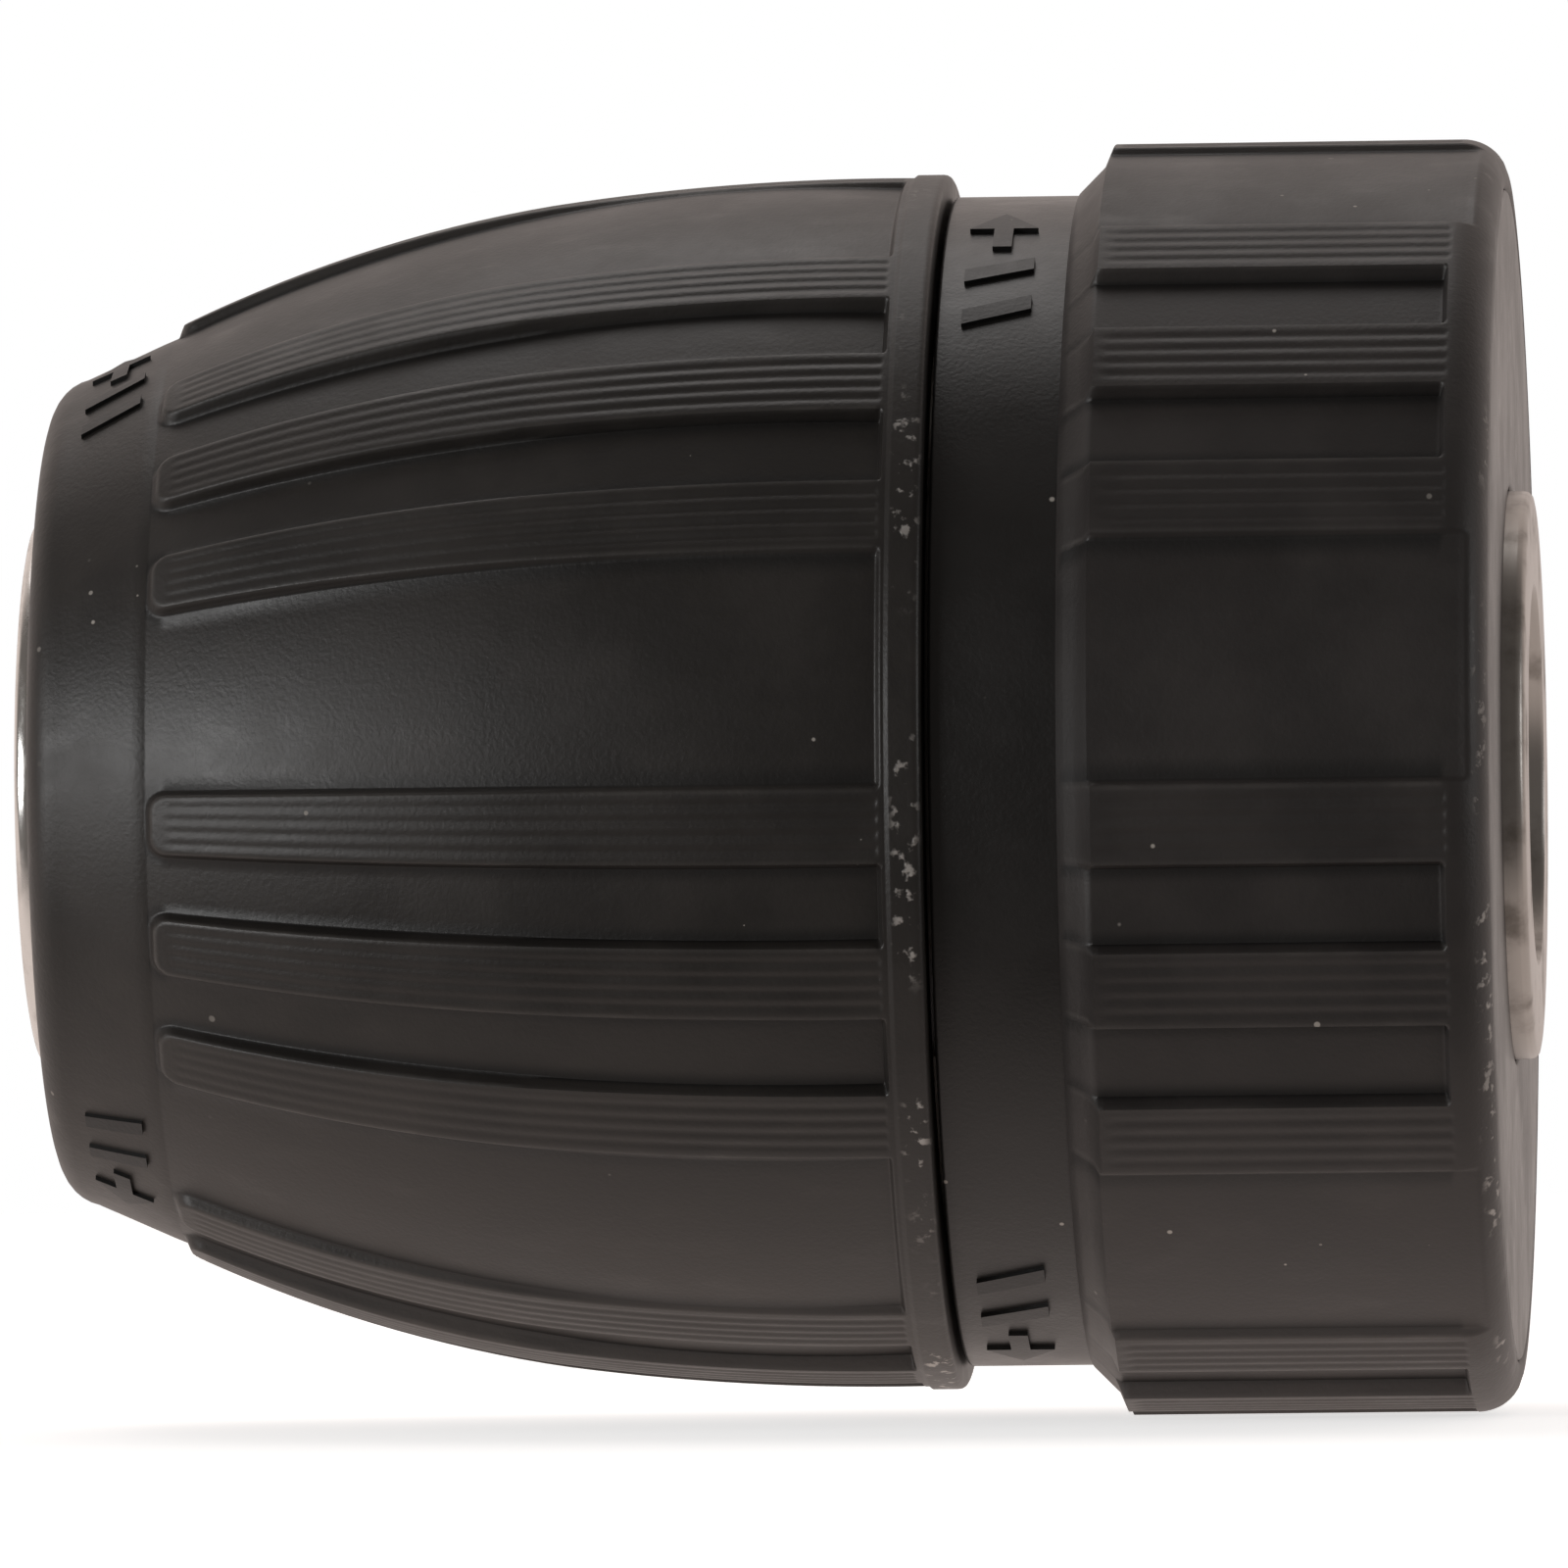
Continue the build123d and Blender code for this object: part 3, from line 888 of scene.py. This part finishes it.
@dataclass
class FrontSleeve:
    """The front sleeve: rim, barrel-shaped grip, nose band and front face."""

    finishes: Finishes
    pattern: GripPattern
    rear: float = 19.55
    rim_radius: float = 20.55
    rim_edge: float = 0.25
    rim_front: float = 20.75
    skirt_radius: float = 18.15
    skirt_front: float = 26.8
    seat_radius: float = 17.7
    seat_front: float = 37.0
    throat_radius: float = 15.6
    throat_front: float = 38.4
    nose_bore_radius: float = 12.4
    nose_bore_rear: float = 42.5
    lip_rear: float = 47.9
    lip_radius: float = 8.65
    recess_rear: float = 49.3
    recess_radius: float = 9.65
    front: float = 50.0
    corner_radius: float = 12.7
    corner_round: Point = (49.7, 13.5)
    band_front: Point = (48.9, 14.0)
    band_rear_radius: float = 15.35
    grip_rear_radius: float = 20.45
    grip_middle: Point = (33.2, 19.66)
    grip_back: Point = (27.0, 20.3)
    grip_crown: Point = (39.8, 18.1)
    grip_front: Point = (45.8, 15.75)
    strip_front: float = 45.65
    line_rear: Point = (20.95, 21.1)
    line_fade: Point = (26.0, 38.0)
    line_front: Point = (44.75, 45.25)
    floor_rear: float = 20.98
    land_depth: float = 0.25
    scoop_depth: float = 0.55
    wall: float = 0.1
    skin: float = 0.5
    support: float = 0.06
    grip_runs: tuple[Run, ...] = (
        (20.8, 21.12, 8),
        (21.2, 21.5, 1),
        (22.0, 44.0, 26),
        (44.3, 45.8, 18),
    )
    band_rear: Point = (46.3, 15.16)
    band_step: float = 0.04
    rounding_stations: tuple[float, ...] = (49.15, 49.4, 49.6, 49.78, 49.9, 49.97)
    recess_edge: float = 0.15

    def strip_radius(self, station: float) -> float:
        """The radius of the strips' tops at a station."""
        if station <= self.grip_middle[0]:
            curve = Curve((self.rim_front, self.grip_rear_radius), self.grip_back, self.grip_middle)
        else:
            curve = Curve(self.grip_middle, self.grip_crown, self.grip_front)
        return curve.at(station)

    def floor_radius(self, station: float, depth: float, top: float) -> float:
        """The radius of a recess's floor at a station.

        Args:
            station: the station.
            depth: the recess's depth at its rear end and middle.
            top: the radius of the strips there, where the recess's rear wall ends.

        Returns:
            The radius, which meets the nose band in front of the grip.
        """
        rear = (self.floor_rear, self.grip_rear_radius - depth)
        middle = (self.grip_middle[0], self.grip_middle[1] - depth)
        front = (self.grip_front[0], self.band_rear_radius)
        floor = Curve(rear, middle, front).at(max(station, self.floor_rear))
        return top - (top - floor) * ease(station, self.floor_rear - self.wall, self.floor_rear + self.wall)

    def grip_rule(self, angle: float, station: float, radius: float) -> Point:
        """The finished radius and edge tone of a point of the sleeve.

        Args:
            angle: the point's angle.
            station: the point's station.
            radius: its radius on the plain turned shape.

        Returns:
            The new radius, unchanged away from the grip, and the tone.
        """
        if not self.rim_front <= station <= self.grip_front[0]:
            return radius, 0.0
        top = self.strip_radius(station)
        if radius < top - self.skin:
            return radius, 0.0
        land = self.floor_radius(station, self.land_depth, top)
        scoop = self.floor_radius(station, self.scoop_depth, top)
        floor = land + (scoop - land) * self.pattern.scoop_share(angle)
        distance = self.pattern.strip_distance(angle, station, top, self.strip_front)
        share = self.pattern.strip_share(distance)
        lines = self.pattern.line_relief(angle) * share * (1 - 0.5 * ease(station, *self.line_fade))
        lines *= ease(station, *self.line_rear) * (1 - ease(station, *self.line_front))
        tone = self.pattern.edge_shade_highlight_and_wear(distance, station, self.floor_rear)
        return floor + (top - floor) * share - lines, tone

    def outline(self) -> list[Point]:
        """The closed outline of the plain turned sleeve.

        Returns:
            Points of (station, radius), from the rim forward and back through the bore.
        """
        rim_corner = (self.rear, self.rim_radius)
        rim = corner((self.rear, 0.0), rim_corner, (self.front, self.rim_radius), self.rim_edge, 4)
        rim += [
            (self.rear + self.rim_edge + self.support, self.rim_radius),
            (self.rim_front - 3 * self.support, self.rim_radius),
            (self.rim_front - 2 * self.support, self.rim_radius),
            (self.rim_front, self.rim_radius - self.support),
        ]
        grip = [(station, self.strip_radius(station)) for station in spread_all(self.grip_runs)]
        rear, front = self.band_rear, self.band_front
        band = [(self.grip_front[0] + self.band_step, self.band_rear_radius)]
        band += zip(spread(rear[0], front[0], 4), spread(rear[1], front[1], 4))
        nose = Curve(self.band_front, self.corner_round, (self.front, self.corner_radius))
        rounding = [(station, nose.at(station)) for station in self.rounding_stations]
        face = [(self.front, self.corner_radius), (self.front, self.recess_radius + self.recess_edge)]
        bore = [
            (self.front - self.recess_edge, self.recess_radius),
            (self.recess_rear, self.recess_radius),
            (self.recess_rear, self.lip_radius),
            (self.lip_rear, self.lip_radius),
            (self.lip_rear, self.nose_bore_radius),
            (self.nose_bore_rear, self.nose_bore_radius),
            (self.throat_front, self.throat_radius),
            (self.seat_front, self.throat_radius),
            (self.seat_front, self.seat_radius),
            (self.skirt_front, self.seat_radius),
            (self.skirt_front, self.skirt_radius),
            (self.rear, self.skirt_radius),
        ]
        return rim + grip + band + rounding + face + bore

    def build(self) -> None:
        """Builds the sleeve."""
        bm = lathe_in_runs(self.outline(), self.pattern.first_angle, self.pattern.runs())
        press_relief(bm, self.grip_rule)
        look, nodes = self.finishes.sleeve, ("front_sleeve",)
        finish_piece(bm, "front_sleeve_grip", Body.SLEEVE, look, nodes, GRIP_CREASE)


@dataclass
class RearGrip:
    """The rear collar and the grip ring pressed over it."""

    finishes: Finishes
    pattern: GripPattern
    rear: float = 0.76
    bore_radius: float = 9.75
    collar_radius: float = 19.8
    seat_rear: float = 2.9
    seat_radius: float = 17.2
    seat_front: float = 15.4
    skirt_radius: float = 18.3
    collar_front: float = 19.35
    ring_radius: float = 21.5
    rear_edge_radius: float = 20.2
    round_front: float = 2.2
    shoulder: float = 13.9
    ramp_rear: Point = (14.2, 20.8)
    ring_front: float = 15.1
    ring_front_radius: float = 19.9
    skin_radius: float = 19.95
    ring_bore_edge: float = 0.14
    grip_runs: tuple[Run, ...] = (
        (0.78, 1.9, 9),
        (2.0, 2.5, 8),
        (3.0, 12.3, 7),
        (13.3, 13.7, 1),
        (13.9, 14.0, 1),
        (14.2, 15.1, 3),
    )
    land_radius: float = 21.25
    land_rear: float = 1.55
    scoop_radius: float = 20.95
    scoop_rear: float = 2.3
    strip_rear: float = 2.1
    strip_front: float = 20.1
    line_front: Point = (13.3, 13.7)
    line_rear: Point = (2.1, 2.25)
    wall: float = 0.1
    fit_gap: float = 0.02
    collar_edges: tuple[float, ...] = (0.15, 0.14, 0.12, 0.1)
    collar_steps: int = 192

    def ring_profile(self, station: float) -> float:
        """The ring's full outer radius at a station."""
        if station < self.round_front:
            reach = self.round_front - self.rear
            share = (self.round_front - station) / reach
            drop = self.ring_radius - self.rear_edge_radius
            return self.ring_radius - drop * (1 - math.sqrt(max(1 - share * share, 0.0)))
        shoulder, front = (self.shoulder, self.ring_radius), (self.ring_front, self.ring_front_radius)
        if station <= shoulder[0]:
            return self.ring_radius
        start, end = (shoulder, self.ramp_rear) if station <= self.ramp_rear[0] else (self.ramp_rear, front)
        return start[1] + (end[1] - start[1]) * (station - start[0]) / (end[0] - start[0])

    def grip_rule(self, angle: float, station: float, radius: float) -> Point:
        """The finished radius and edge tone of a point of the ring.

        Args:
            angle: the point's angle.
            station: the point's station.
            radius: its radius on the plain turned ring.

        Returns:
            The new radius, unchanged on the bore and the rear face, and the tone.
        """
        if radius < self.skin_radius:
            return radius, 0.0
        top = self.ring_profile(station)
        land_cut = ease(station, self.land_rear - 3 * self.wall, self.land_rear + self.wall)
        land = top - max(top - self.land_radius, 0.0) * land_cut
        scoop_cut = ease(station, self.scoop_rear - self.wall, self.scoop_rear + self.wall)
        scoop = top - max(top - self.scoop_radius, 0.0) * scoop_cut
        floor = land + (scoop - land) * self.pattern.scoop_share(angle)
        distance = self.pattern.strip_distance(angle, station, self.ring_radius, self.strip_front)
        share = self.pattern.strip_share(distance)
        lines = self.pattern.line_relief(angle) * ease(station, *self.line_rear)
        lines *= 1 - ease(station, *self.line_front)
        tone = self.pattern.edge_shade_highlight_and_wear(distance, station, self.strip_rear)
        return min(floor + (top - floor - lines) * share, top), tone

    def build_ring(self) -> None:
        """Builds the grip ring."""
        outline = [(self.rear, self.rear_edge_radius - self.fit_gap)]
        outline += [(station, self.ring_profile(station)) for station in spread_all(self.grip_runs)]
        outline += [
            (self.ring_front, self.collar_radius),
            (self.rear + self.ring_bore_edge, self.collar_radius),
            (self.rear, self.collar_radius + self.ring_bore_edge),
        ]
        bm = lathe_in_runs(outline, self.pattern.first_angle, self.pattern.runs())
        press_relief(bm, self.grip_rule)
        look, nodes = self.finishes.ring, ("rear_grip_ring",)
        finish_piece(bm, "rear_ring_grip", Body.CHUCK, look, nodes, GRIP_CREASE)

    def build_collar(self) -> None:
        """Builds the collar."""
        outline = [
            (self.rear, self.bore_radius),
            (self.rear, self.collar_radius - self.fit_gap),
            (self.collar_front, self.collar_radius - self.fit_gap),
            (self.collar_front, self.skirt_radius),
            (self.seat_front, self.skirt_radius),
            (self.seat_front, self.seat_radius),
            (self.seat_rear, self.seat_radius),
            (self.seat_rear, self.bore_radius),
        ]
        bm = lathe(rounded(outline, dict(enumerate(self.collar_edges))), self.collar_steps)
        look, nodes = self.finishes.collar, ("rear_collar",)
        finish_piece(bm, "rear_collar_cup", Body.CHUCK, look, nodes)

    def build(self) -> None:
        """Builds the collar and its ring."""
        self.build_collar()
        self.build_ring()


@dataclass
class SteelBody:
    """The chuck body: a turned hub with its threaded socket, and the bored front."""

    finishes: Finishes
    hub_radius: float = 9.6
    drum_rear: float = 2.9
    drum_radius: float = 17.2
    split: float = 15.25
    through_radius: float = 3.2
    socket_depth: float = 15.0
    mouth_radius: float = 6.45
    mouth_depth: float = 0.12
    hub_edge: float = 0.35
    drum_edge: float = 0.3
    thread_root: float = 6.37
    thread_seat: float = 6.41
    thread_crest: float = 5.75
    thread_pitch: float = 1.27
    root_share: float = 0.44
    crest_share: float = 0.10
    thread_start: float = 0.7
    thread_end: float = 13.6
    steps_per_turn: int = 40
    cut_distance: float = 0.0001
    front_crease: float = 20.0

    def build_rear(self) -> None:
        """Builds the hub, the drum behind the collar and the plain wall of the socket."""
        outline = [
            (0.0, self.mouth_radius),
            (0.0, self.hub_radius),
            (self.drum_rear, self.hub_radius),
            (self.drum_rear, self.drum_radius),
            (self.split, self.drum_radius),
            (self.split, self.through_radius),
            (self.socket_depth, self.through_radius),
            (self.socket_depth, self.thread_root),
            (self.mouth_depth, self.thread_root),
        ]
        bm = lathe(rounded(outline, {1: self.hub_edge, 3: self.drum_edge}))
        finish_piece(bm, "body_hub", Body.CHUCK, self.finishes.body, ("chuck_body",))

    def build_thread(self) -> None:
        """Builds the right-hand thread as one helical ridge in the socket."""
        half_root = self.thread_pitch * self.root_share
        half_crest = self.thread_pitch * self.crest_share
        section = [(-half_root, self.thread_seat), (half_root, self.thread_seat)]
        section += [(half_crest, self.thread_crest), (-half_crest, self.thread_crest)]
        outline = [(self.thread_end + along, radius) for along, radius in section]
        bm, geom = outline_mesh(outline)
        bmesh.ops.contextual_create(bm, geom=geom)
        turns = (self.thread_end - self.thread_start) / self.thread_pitch
        steps = round(turns * self.steps_per_turn)
        bmesh.ops.spin(
            bm,
            geom=everything(bm),
            cent=CENTRE,
            axis=AXIS,
            dvec=(self.thread_pitch / self.steps_per_turn, 0, 0),
            angle=math.tau * steps / self.steps_per_turn,
            steps=steps,
        )
        face_outward(bm)
        finish_piece(bm, "socket_thread", Body.CHUCK, self.finishes.body)

    def build_front(self) -> None:
        """Builds the bored front from the CAD body, parted from the hub inside the collar."""
        bm = bmesh.new()
        bm.from_mesh(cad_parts["chuck_body"].data)
        bmesh.ops.scale(bm, verts=bm.verts, vec=(1 / MM, 1 / MM, 1 / MM))
        bmesh.ops.remove_doubles(bm, verts=bm.verts, dist=WELD_DISTANCE)
        cut = bmesh.ops.bisect_plane(
            bm,
            geom=everything(bm),
            dist=self.cut_distance,
            plane_co=(-self.split, 0, 0),
            plane_no=AXIS,
            clear_outer=True,
        )
        rims = [item for item in cut["geom_cut"] if isinstance(item, bmesh.types.BMEdge)]
        bmesh.ops.triangle_fill(bm, use_beauty=True, use_dissolve=False, edges=rims)
        look, crease = self.finishes.body, self.front_crease
        finish_piece(bm, "body_front", Body.CHUCK, look, crease=crease)

    def build(self) -> None:
        """Builds the hub, the thread and the bored front."""
        self.build_rear()
        self.build_thread()
        self.build_front()


@dataclass
class NoseRing:
    """The bright nosepiece round the mouth of the chuck."""

    finishes: Finishes
    rear: float = 49.45
    front: float = 50.8
    bore_radius: float = 8.3
    radius: float = 9.3
    rear_edge: float = 0.1
    front_edge: float = 0.45
    mouth_edge: float = 0.12

    def build(self) -> None:
        """Builds the nosepiece."""
        outline = [
            (self.rear, self.bore_radius),
            (self.rear, self.radius),
            (self.front, self.radius),
            (self.front, self.bore_radius),
        ]
        bm = lathe(rounded(outline, {1: self.rear_edge, 2: self.front_edge, 3: self.mouth_edge}))
        look, nodes = self.finishes.bright, ("nosepiece",)
        finish_piece(bm, "nose_ring", Body.CHUCK, look, nodes)


@dataclass(frozen=True)
class MarkBand:
    """A plain band of the chuck that carries signs."""

    name: str
    body: Body
    stations: Point
    radii: Point
    back_start: float
    on_start: float


@dataclass
class MouldedMarks:
    """Plain arrows and bars that stand up from the nose band and the collar, coloured darker than the
    plastic round them as painted shade.
    """

    finishes: Finishes
    lift: float = 0.16
    sink: float = 0.15
    gap_arc: float = 2.5
    bar_arc: float = 4.5
    arrow_arc: float = 9.0
    length_steps: int = 7
    shaft: Point = (0.36, 0.64)
    bands: tuple[MarkBand, ...] = (
        MarkBand("collar", Body.CHUCK, (16.2, 18.5), (19.78, 19.78), -73.0, 55.0),
        MarkBand("nose", Body.SLEEVE, (46.5, 48.5), (15.06, 14.18), -80.0, 47.0),
    )

    def flat_shape(self, mark: Mark) -> list[Point]:
        """A sign's outline within a unit square.

        Args:
            mark: which sign.

        Returns:
            Its corners, first across the axis and then along it.
        """
        if mark is Mark.BAR:
            return [(0.0, 0.0), (0.5, 0.0), (1.0, 1.0), (0.5, 1.0)]
        low, high = self.shaft
        arrow = [(0.0, low), (0.5, low), (0.5, 0.0), (1.0, 0.5), (0.5, 1.0), (0.5, high), (0.0, high)]
        if mark is Mark.ARROW_ON:
            return arrow
        return [(1.0 - across, along) for across, along in reversed(arrow)]

    def build_mark(self, name: str, mark: Mark, band: MarkBand, start: float, arc: float) -> None:
        """Builds one sign, wrapped on its band.

        Args:
            name: the piece's name.
            mark: which sign.
            band: the band that it stands on.
            start: the angle where it starts.
            arc: the arc that it takes.
        """
        bm = bmesh.new()
        verts = [bm.verts.new((across, along, 0.0)) for across, along in self.flat_shape(mark)]
        bm.faces.new(verts)
        for cut in spread(0.0, 1.0, self.length_steps)[1:-1]:
            bmesh.ops.bisect_plane(bm, geom=everything(bm), plane_co=(cut, 0, 0), plane_no=AXIS)
        raised = bmesh.ops.extrude_face_region(bm, geom=bm.faces[:])
        top = [item for item in raised["geom"] if isinstance(item, bmesh.types.BMVert)]
        bmesh.ops.translate(bm, verts=top, vec=(0, 0, 1))
        for vert in bm.verts:
            turn = math.radians(start + arc * vert.co.x)
            station = band.stations[0] + (band.stations[1] - band.stations[0]) * vert.co.y
            radius = band.radii[0] + (band.radii[1] - band.radii[0]) * vert.co.y
            radius += self.lift if vert.co.z > 0.5 else -self.sink
            vert.co = (-station, -radius * math.cos(turn), -radius * math.sin(turn))
        face_outward(bm)
        finish_piece(bm, name, band.body, self.finishes.mark)

    def build_row(self, name: str, band: MarkBand, start: float, marks: list[Mark]) -> None:
        """Builds a row of signs one after another round the axis.

        Args:
            name: the row's name.
            band: the band that it stands on.
            start: the angle where the row starts.
            marks: its signs in order.
        """
        for index, mark in enumerate(marks):
            arc = self.bar_arc if mark is Mark.BAR else self.arrow_arc
            self.build_mark(f"{name}_{index}", mark, band, start, arc)
            start += arc + self.gap_arc

    def build(self) -> None:
        """Builds two rows on each side of each band."""
        back, on = [Mark.ARROW_BACK, Mark.BAR, Mark.BAR], [Mark.BAR, Mark.BAR, Mark.ARROW_ON]
        for side, turn in enumerate((0, 180)):
            for band in self.bands:
                self.build_row(f"{band.name}_back_{side}", band, turn + band.back_start, back)
                self.build_row(f"{band.name}_on_{side}", band, turn + band.on_start, on)


@dataclass
class Works:
    """The inner pieces, which keep their CAD shapes and get their finishes."""

    finishes: Finishes

    def dress(self) -> None:
        """Gives every kept CAD node its finish."""
        looks = [
            (self.finishes.jaw, ("jaw_1", "jaw_2", "jaw_3")),
            (self.finishes.bearing, ("nut_half_1", "nut_half_2", "nut_race")),
            (self.finishes.bearing, ("thrust_washer", "ratchet_ring")),
            (self.finishes.bright, ("bearing_balls",)),
            (self.finishes.cage, ("bearing_cage",)),
            (self.finishes.pressed, ("nut_band", "sleeve_insert")),
            (self.finishes.spring, ("lock_spring", "nose_wire")),
            (self.finishes.washer, ("nose_washer",)),
        ]
        for material, names in looks:
            for name in names:
                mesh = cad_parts[name].data
                mesh.materials.clear()
                mesh.materials.append(material)
                LOG.info("%s: finished as %s", name, material.name)


@dataclass(frozen=True)
class SoftLight:
    """A rectangular light, with its power in watts."""

    name: str
    place: Place
    size: Point
    power: float


@dataclass
class Studio:
    """A pale floor, soft lights and the camera."""

    floor_drop: float = 21.6
    floor_radius: float = 450.0
    floor_colour: Colour = tint(0.86, 0.86, 0.86)
    floor_glow: float = 0.75
    bounce_depth: Point = (-45.0, -10.0)
    backdrop_depth: Point = (-0.1, 0.6)
    dim: Colour = tint(0.155, 0.14, 0.13)
    bright: Colour = tint(0.85, 0.74, 0.69)
    distance: float = 860.0
    turn: float = 4.0
    roll: float = 0.7
    lens: float = 583.0
    film_width: float = 36.0
    clip: Point = (10.0, 20000.0)
    aim: Place = (-25.5, 0.0, 0.0)
    lights: tuple[SoftLight, ...] = (
        SoftLight("top_softbox", (-120.0, 170.0, 480.0), (300.0, 300.0), 0.40),
        SoftLight("nose_softbox", (-500.0, -340.0, 0.0), (300.0, 300.0), 2.5),
        SoftLight("hub_softbox", (500.0, -180.0, 100.0), (200.0, 300.0), 0.5),
    )

    def floor_finish(self) -> Material:
        """Builds the floor's finish, which is paler to the eye than in the chuck's gloss.

        Returns:
            The material.
        """
        graph = Graph("studio_floor")
        pale = {"Base Color": self.floor_colour, "Roughness": 0.9}
        glow = {"Emission Color": self.floor_colour, "Emission Strength": self.floor_glow}
        seen = graph.node("ShaderNodeBsdfPrincipled", None, pale | glow)
        depth = Signal(graph, graph.node("ShaderNodeSeparateXYZ", None, {0: graph.place}).outputs[1])
        bounce = graph.mix((depth / MM).ramp(*self.bounce_depth), self.dim, self.bright)
        unseen = graph.node("ShaderNodeEmission", None, {"Color": bounce})
        camera_ray = graph.node("ShaderNodeLightPath").outputs["Is Camera Ray"]
        looks = {0: camera_ray, 1: unseen.outputs[0], 2: seen.outputs[0]}
        both = graph.node("ShaderNodeMixShader", None, looks)
        graph.node("ShaderNodeOutputMaterial", None, {0: both.outputs[0]})
        return graph.owner

    def build_floor(self) -> None:
        """Builds the floor just under the chuck."""
        bm = bmesh.new()
        bmesh.ops.create_circle(bm, cap_ends=True, segments=64, radius=self.floor_radius * MM)
        bmesh.ops.translate(bm, verts=bm.verts, vec=(0, 0, -self.floor_drop * MM))
        mesh = bpy.data.meshes.new("studio_floor")
        bm.to_mesh(mesh)
        bm.free()
        mesh.materials.append(self.floor_finish())
        floor = bpy.data.objects.new("studio_floor", mesh)
        bpy.context.scene.collection.objects.link(floor)

    def build_light(self, soft: SoftLight) -> None:
        """Builds one soft light that shines at the chuck.

        Args:
            soft: the light's sizes.
        """
        lamp = bpy.data.lights.new(soft.name, "AREA")
        lamp.shape = "RECTANGLE"
        lamp.size, lamp.size_y = Vector(soft.size) * MM
        lamp.energy = soft.power
        light = bpy.data.objects.new(soft.name, lamp)
        light.location = Vector(soft.place) * MM
        towards = Vector(self.aim) - Vector(soft.place)
        light.rotation_euler = towards.to_track_quat("-Z", "Y").to_euler()
        bpy.context.scene.collection.objects.link(light)

    def build_world(self) -> None:
        """Builds a white backdrop, whose light comes mostly from behind the chuck."""
        graph = Graph("studio_world", bpy.data.worlds)
        towards = graph.node("ShaderNodeTexCoord").outputs["Generated"]
        depth = Signal(graph, graph.node("ShaderNodeSeparateXYZ", None, {0: towards}).outputs[1])
        sides = graph.mix(depth.ramp(*self.backdrop_depth), self.dim, self.bright)
        camera_ray = graph.node("ShaderNodeLightPath").outputs["Is Camera Ray"]
        shown = graph.mix(Signal(graph, camera_ray), sides, tint(1.0, 1.0, 1.0))
        light = graph.node("ShaderNodeBackground", None, {"Color": shown})
        graph.node("ShaderNodeOutputWorld", None, {0: light.outputs[0]})
        bpy.context.scene.world = graph.owner
        bpy.context.scene.view_settings.view_transform = "Standard"

    def build_camera(self) -> None:
        """Builds the camera, a little to the rear of square on."""
        lens = bpy.data.cameras.new("camera")
        lens.lens = self.lens
        lens.sensor_width = self.film_width
        lens.clip_start, lens.clip_end = Vector(self.clip) * MM
        camera = bpy.data.objects.new("camera", lens)
        turn = math.radians(self.turn)
        back = Vector((math.sin(turn), -math.cos(turn), 0.0))
        camera.location = Vector(self.aim) * MM + back * self.distance * MM
        camera.rotation_euler = (math.radians(90), math.radians(self.roll), turn)
        bpy.context.scene.collection.objects.link(camera)
        bpy.context.scene.camera = camera

    def build(self) -> None:
        """Builds the whole studio."""
        self.build_floor()
        for soft in self.lights:
            self.build_light(soft)
        self.build_world()
        self.build_camera()


def main() -> None:
    """Builds the chuck and its studio in order and reports each piece."""
    logging.basicConfig(level=logging.INFO, format="%(name)s: %(message)s")
    finishes = Finishes()
    pattern = GripPattern()
    SteelBody(finishes).build()
    RearGrip(finishes, pattern).build()
    FrontSleeve(finishes, pattern).build()
    NoseRing(finishes).build()
    MouldedMarks(finishes).build()
    Works(finishes).dress()
    Studio().build()


if __name__ == "__main__":
    main()
